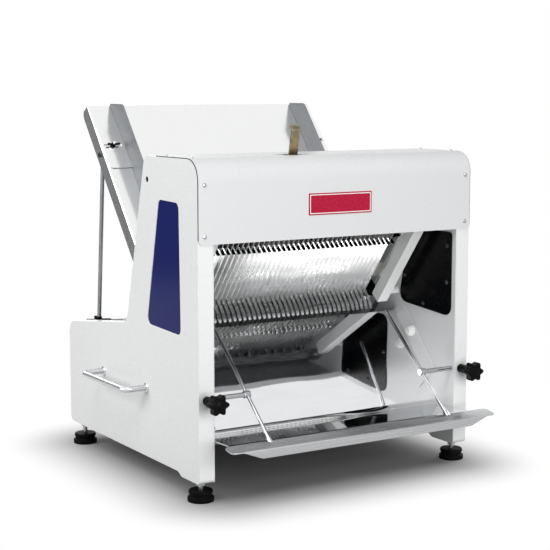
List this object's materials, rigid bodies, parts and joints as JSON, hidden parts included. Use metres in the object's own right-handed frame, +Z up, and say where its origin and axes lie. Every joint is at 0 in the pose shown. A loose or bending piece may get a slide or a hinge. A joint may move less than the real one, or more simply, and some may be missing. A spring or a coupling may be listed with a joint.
{
  "type": "bread slicer machine",
  "caption": "Free-standing bread slicer with sloped infeed chute, counter-moving blade frames, hold-down comb, polished outfeed slide, tilting rack and carry handles.",
  "frame": {"origin": "middle of the machine's footprint box at floor level", "axes": "+X to the machine's right seen from the front, +Y from the outfeed front to the infeed rear, +Z up"},
  "size_m": [0.76, 0.718, 0.7587],
  "materials": {
    "white_paint": "gloss white powder coat",
    "pale_paint": "satin pale grey paint",
    "black_paint": "satin black paint",
    "red_paint": "gloss crimson",
    "navy_acrylic": "gloss navy",
    "stainless": "fine brushed",
    "polished_steel": "mirror polished",
    "blade_steel": "polished",
    "bright_steel": "ground",
    "dark_steel": "dull",
    "zinc_yellow": "yellow zinc plating",
    "grey_iron": "cast, painted grey",
    "alloy": "cast, satin",
    "nylon": "satin",
    "white_plastic": "satin",
    "black_plastic": "satin",
    "black_rubber": "matte",
    "grey_plastic": "satin",
    "green_plastic": "gloss",
    "red_plastic": "gloss"
  },
  "bodies": {
    "machine": {"side_frame_left": "white_paint", "side_frame_right": "white_paint", "inner_cover_left": "white_paint", "inner_cover_right": "white_paint", "window_left": "navy_acrylic", "window_right": "navy_acrylic", "access_plate_left": "black_paint", "access_plate_right": "black_paint", "head_cover": "pale_paint", "badge_plate": "red_paint", "panel_screws": "bright_steel", "tie_bar": "bright_steel", "frame_bolts": "dark_steel", "infeed_chute": "stainless", "chute_struts": "dark_steel", "base_floor": "stainless", "base_top": "pale_paint", "rear_panel": "pale_paint", "rear_guard": "stainless", "cord_gland": "black_plastic", "foot_studs": "bright_steel", "foot_pads": "black_rubber", "carry_handle_left": "stainless", "carry_handle_right": "stainless", "guide_channels": "white_paint", "lower_comb": "stainless", "outfeed_slide": "polished_steel", "slide_brackets": "white_paint", "slide_caps": "white_plastic", "clamp_bosses": "bright_steel", "motor": "alloy", "crank_bearings": "grey_iron", "drive_belt": "black_rubber", "switch_plate": "grey_plastic"},
    "blade_frame_a": {"blade_frame_a": "bright_steel", "blades_a": "blade_steel", "guide_shoes_a": "nylon"},
    "blade_frame_b": {"blade_frame_b": "bright_steel", "blades_b": "blade_steel", "guide_shoes_b": "nylon"},
    "crank": {"crankshaft": "bright_steel", "eccentrics": "grey_iron", "crank_pulley": "grey_iron"},
    "con_rods_a": {"con_rods_a": "alloy"},
    "con_rods_b": {"con_rods_b": "alloy"},
    "motor_rotor": {"motor_shaft": "bright_steel", "motor_pulley": "grey_iron"},
    "hold_down": {"hold_down_comb": "stainless", "hold_down_shaft": "bright_steel", "hold_down_lever": "zinc_yellow"},
    "outfeed_rack": {"outfeed_rods": "polished_steel", "lip_bar": "stainless"},
    "knob_left": {"star_knob_left": "black_plastic"},
    "knob_right": {"star_knob_right": "black_plastic"},
    "guide_left": {"loaf_guide_left": "stainless"},
    "guide_right": {"loaf_guide_right": "stainless"},
    "nut_left": {"wing_nut_left": "black_plastic"},
    "nut_right": {"wing_nut_right": "black_plastic"},
    "start_button": {"start_button": "green_plastic"},
    "stop_button": {"stop_button": "red_plastic"}
  },
  "joints": [
    {"name": "blade_stroke_a", "type": "slide", "parent": "machine", "child": "blade_frame_a", "axis": [0, -0.6157, 0.788], "range_m": [-0.016, 0.016]},
    {"name": "blade_stroke_b", "type": "slide", "parent": "machine", "child": "blade_frame_b", "axis": [0, -0.6157, 0.788], "range_m": [-0.016, 0.016]},
    {"name": "crank_spin", "type": "hinge", "parent": "machine", "child": "crank", "pos_m": [0, 0.17076, 0.11969], "axis": [1, 0, 0], "continuous": true},
    {"name": "rod_pivot_a", "type": "hinge", "parent": "crank", "child": "con_rods_a", "pos_m": [0, 0.18337, 0.12954], "axis": [1, 0, 0], "continuous": true},
    {"name": "rod_pivot_b", "type": "hinge", "parent": "crank", "child": "con_rods_b", "pos_m": [0, 0.15816, 0.10984], "axis": [1, 0, 0], "continuous": true},
    {"name": "motor_spin", "type": "hinge", "parent": "machine", "child": "motor_rotor", "pos_m": [0, 0.285, 0.11969], "axis": [1, 0, 0], "continuous": true},
    {"name": "hold_down_tilt", "type": "hinge", "parent": "machine", "child": "hold_down", "pos_m": [0, -0.172, 0.64], "axis": [1, 0, 0], "range_deg": [0, 12]},
    {"name": "rack_tilt", "type": "hinge", "parent": "machine", "child": "outfeed_rack", "pos_m": [0, -0.237, 0.202], "axis": [1, 0, 0], "range_deg": [-12, 4]},
    {"name": "knob_turn_left", "type": "hinge", "parent": "machine", "child": "knob_left", "pos_m": [-0.308, -0.247, 0.202], "axis": [0, -1, 0], "range_deg": [0, 270]},
    {"name": "knob_turn_right", "type": "hinge", "parent": "machine", "child": "knob_right", "pos_m": [0.308, -0.247, 0.202], "axis": [0, -1, 0], "range_deg": [0, 270]},
    {"name": "guide_slide_left", "type": "slide", "parent": "machine", "child": "guide_left", "axis": [1, 0, 0], "range_m": [0, 0.016]},
    {"name": "guide_slide_right", "type": "slide", "parent": "machine", "child": "guide_right", "axis": [-1, 0, 0], "range_m": [0, 0.016]},
    {"name": "nut_turn_left", "type": "hinge", "parent": "machine", "child": "nut_left", "pos_m": [-0.263, 0.25026, 0.66841], "axis": [0, -0.7771, 0.6293], "range_deg": [0, 360]},
    {"name": "nut_turn_right", "type": "hinge", "parent": "machine", "child": "nut_right", "pos_m": [0.263, 0.25026, 0.66841], "axis": [0, -0.7771, 0.6293], "range_deg": [0, 360]},
    {"name": "start_press", "type": "slide", "parent": "machine", "child": "start_button", "axis": [-1, 0, 0], "range_m": [0, 0.003], "stiffness_N_per_m": 600},
    {"name": "stop_press", "type": "slide", "parent": "machine", "child": "stop_button", "axis": [-1, 0, 0], "range_m": [0, 0.003], "stiffness_N_per_m": 600}
  ],
  "couplings": [
    {"joint": "blade_stroke_b", "follows": "blade_stroke_a", "ratio": -1},
    {"joint": "rod_pivot_a", "follows": "crank_spin", "ratio": -1},
    {"joint": "rod_pivot_b", "follows": "crank_spin", "ratio": -1},
    {"joint": "motor_spin", "follows": "crank_spin", "ratio": 2}
  ]
}
